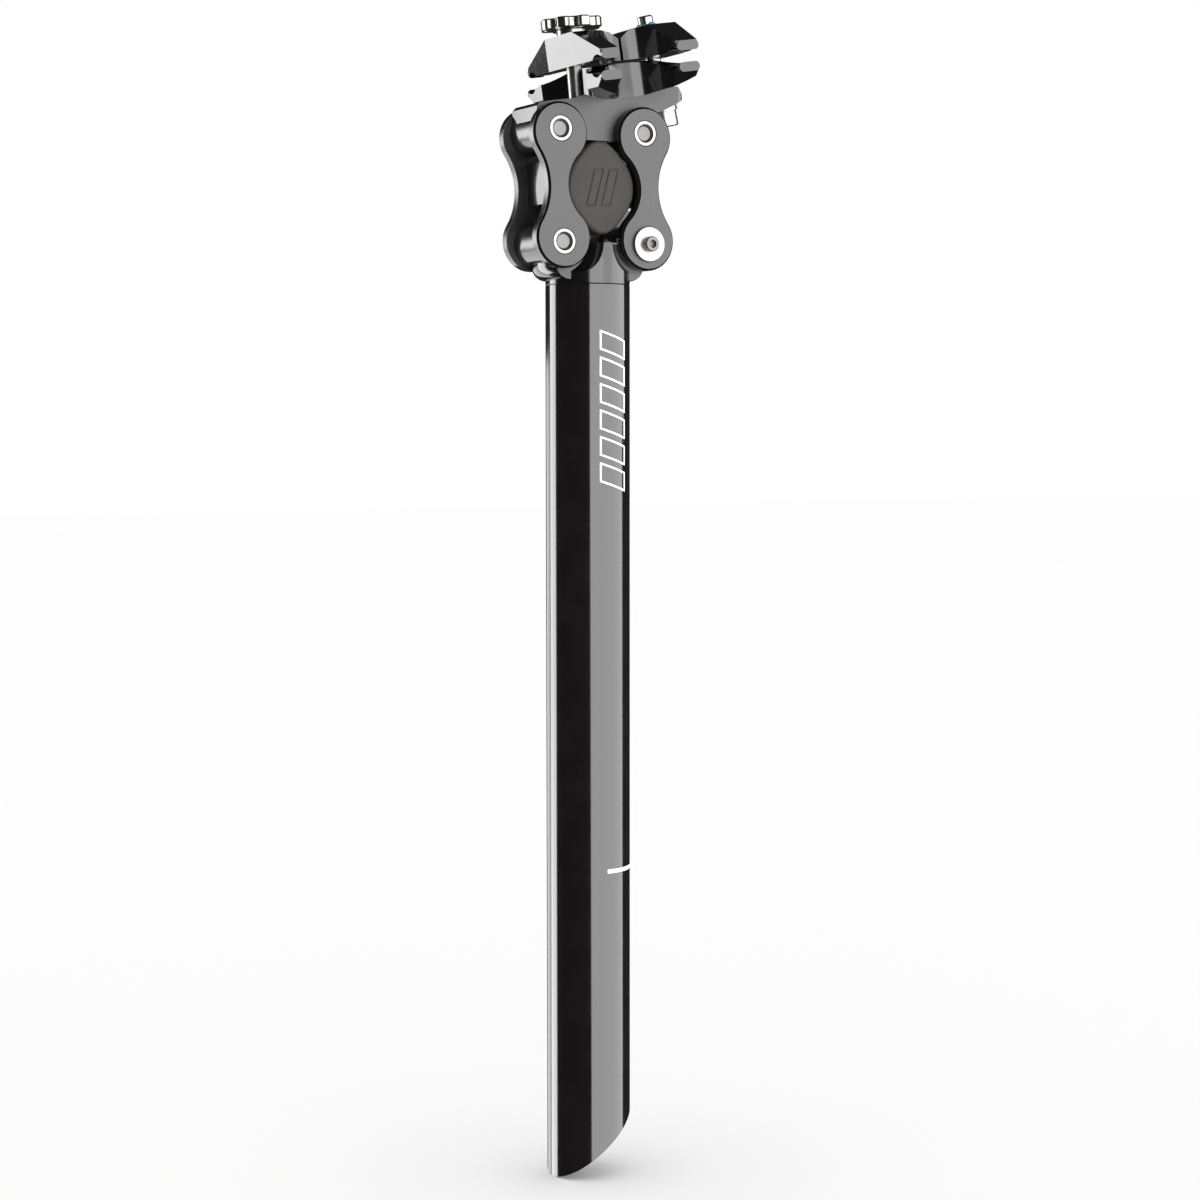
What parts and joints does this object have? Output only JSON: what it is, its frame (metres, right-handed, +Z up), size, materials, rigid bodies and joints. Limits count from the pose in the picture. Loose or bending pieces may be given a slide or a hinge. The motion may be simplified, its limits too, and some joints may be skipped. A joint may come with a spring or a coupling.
{
  "type": "suspension seatpost",
  "caption": "Straight round post with a slanted lower end, a parallelogram link head around an oval elastomer, and a tilting rail clamp with a thumbwheel.",
  "frame": {"origin": "on the post tube's axis at the minimum-insertion mark", "axes": "+Z up the post towards the saddle, +X to the rear of the bicycle, +Y to the rider's right"},
  "size_m": [0.059, 0.05, 0.3777],
  "materials": {
    "tube": "gloss",
    "body": "gloss",
    "link": "satin",
    "clamp": "gloss",
    "bush": "matte",
    "axle": "satin",
    "fastener": "polished",
    "wheel": "polished",
    "rubber": "matte"
  },
  "bodies": {
    "post": {"post_tube": "tube", "lower_body": "body", "front_lower_bushes": "bush", "rear_lower_bushes": "bush"},
    "front_link": {"front_link": "link", "front_lower_axle": "axle", "front_upper_axle": "axle"},
    "rear_link": {"rear_link": "link", "rear_upper_axle": "axle", "rear_lower_axle": "axle", "rear_axle_washer": "axle", "rear_axle_screw": "fastener"},
    "elastomer": {"elastomer": "rubber"},
    "head": {"head": "body", "front_upper_bushes": "bush", "rear_upper_bushes": "bush"},
    "clamp": {"cradle": "clamp", "front_stud": "fastener", "stud_anchor": "fastener", "rear_bolt_washer": "fastener"},
    "front_yoke": {"front_yoke": "clamp"},
    "thumbwheel_washer": {"thumbwheel_washer": "fastener"},
    "thumbwheel": {"thumbwheel": "wheel"},
    "rear_yoke": {"rear_yoke": "clamp", "rear_barrel_nut": "fastener"},
    "rear_bolt": {"rear_bolt": "fastener"}
  },
  "joints": [
    {"name": "front_link_pivot", "type": "hinge", "parent": "post", "child": "front_link", "pos_m": [-0.015, 0, 0.2014], "axis": [0, 1, 0], "range_deg": [0, 45], "stiffness_Nm_per_rad": 20, "springref_deg": -2.86},
    {"name": "rear_link_pivot", "type": "hinge", "parent": "post", "child": "rear_link", "pos_m": [0.0154, 0, 0.2014], "axis": [0, 1, 0], "range_deg": [0, 45]},
    {"name": "head_pivot", "type": "hinge", "parent": "front_link", "child": "head", "pos_m": [-0.01616, 0, 0.23648], "axis": [0, 1, 0], "range_deg": [-45, 0]},
    {"name": "elastomer_follow", "type": "hinge", "parent": "front_link", "child": "elastomer", "pos_m": [-0.01558, 0, 0.21894], "axis": [0, 1, 0], "range_deg": [-45, 0], "deforming": ["elastomer"]},
    {"name": "cradle_tilt", "type": "hinge", "parent": "head", "child": "clamp", "pos_m": [0.00316, 0, 0.29226], "axis": [0, 1, 0], "range_deg": [-2.5, 2.5]},
    {"name": "front_yoke_lift", "type": "slide", "parent": "clamp", "child": "front_yoke", "axis": [-0.0924, 0, 0.9957], "range_m": [0, 0.003]},
    {"name": "washer_lift", "type": "slide", "parent": "clamp", "child": "thumbwheel_washer", "axis": [-0.0924, 0, 0.9957], "range_m": [0, 0.003]},
    {"name": "thumbwheel_turn", "type": "hinge", "parent": "thumbwheel_washer", "child": "thumbwheel", "pos_m": [-0.00453, 0, 0.25558], "axis": [-0.0924, 0, 0.9957], "continuous": true},
    {"name": "rear_yoke_lift", "type": "slide", "parent": "clamp", "child": "rear_yoke", "axis": [-0.2233, 0, 0.9748], "range_m": [0, 0.003]},
    {"name": "rear_bolt_turn", "type": "hinge", "parent": "clamp", "child": "rear_bolt", "pos_m": [0.0247, 0, 0.26026], "axis": [-0.2233, 0, 0.9748], "continuous": true}
  ],
  "couplings": [
    {"joint": "rear_link_pivot", "follows": "front_link_pivot", "ratio": 1},
    {"joint": "head_pivot", "follows": "front_link_pivot", "ratio": -1},
    {"joint": "elastomer_follow", "follows": "front_link_pivot", "ratio": -1},
    {"joint": "washer_lift", "follows": "front_yoke_lift", "ratio": 1}
  ]
}
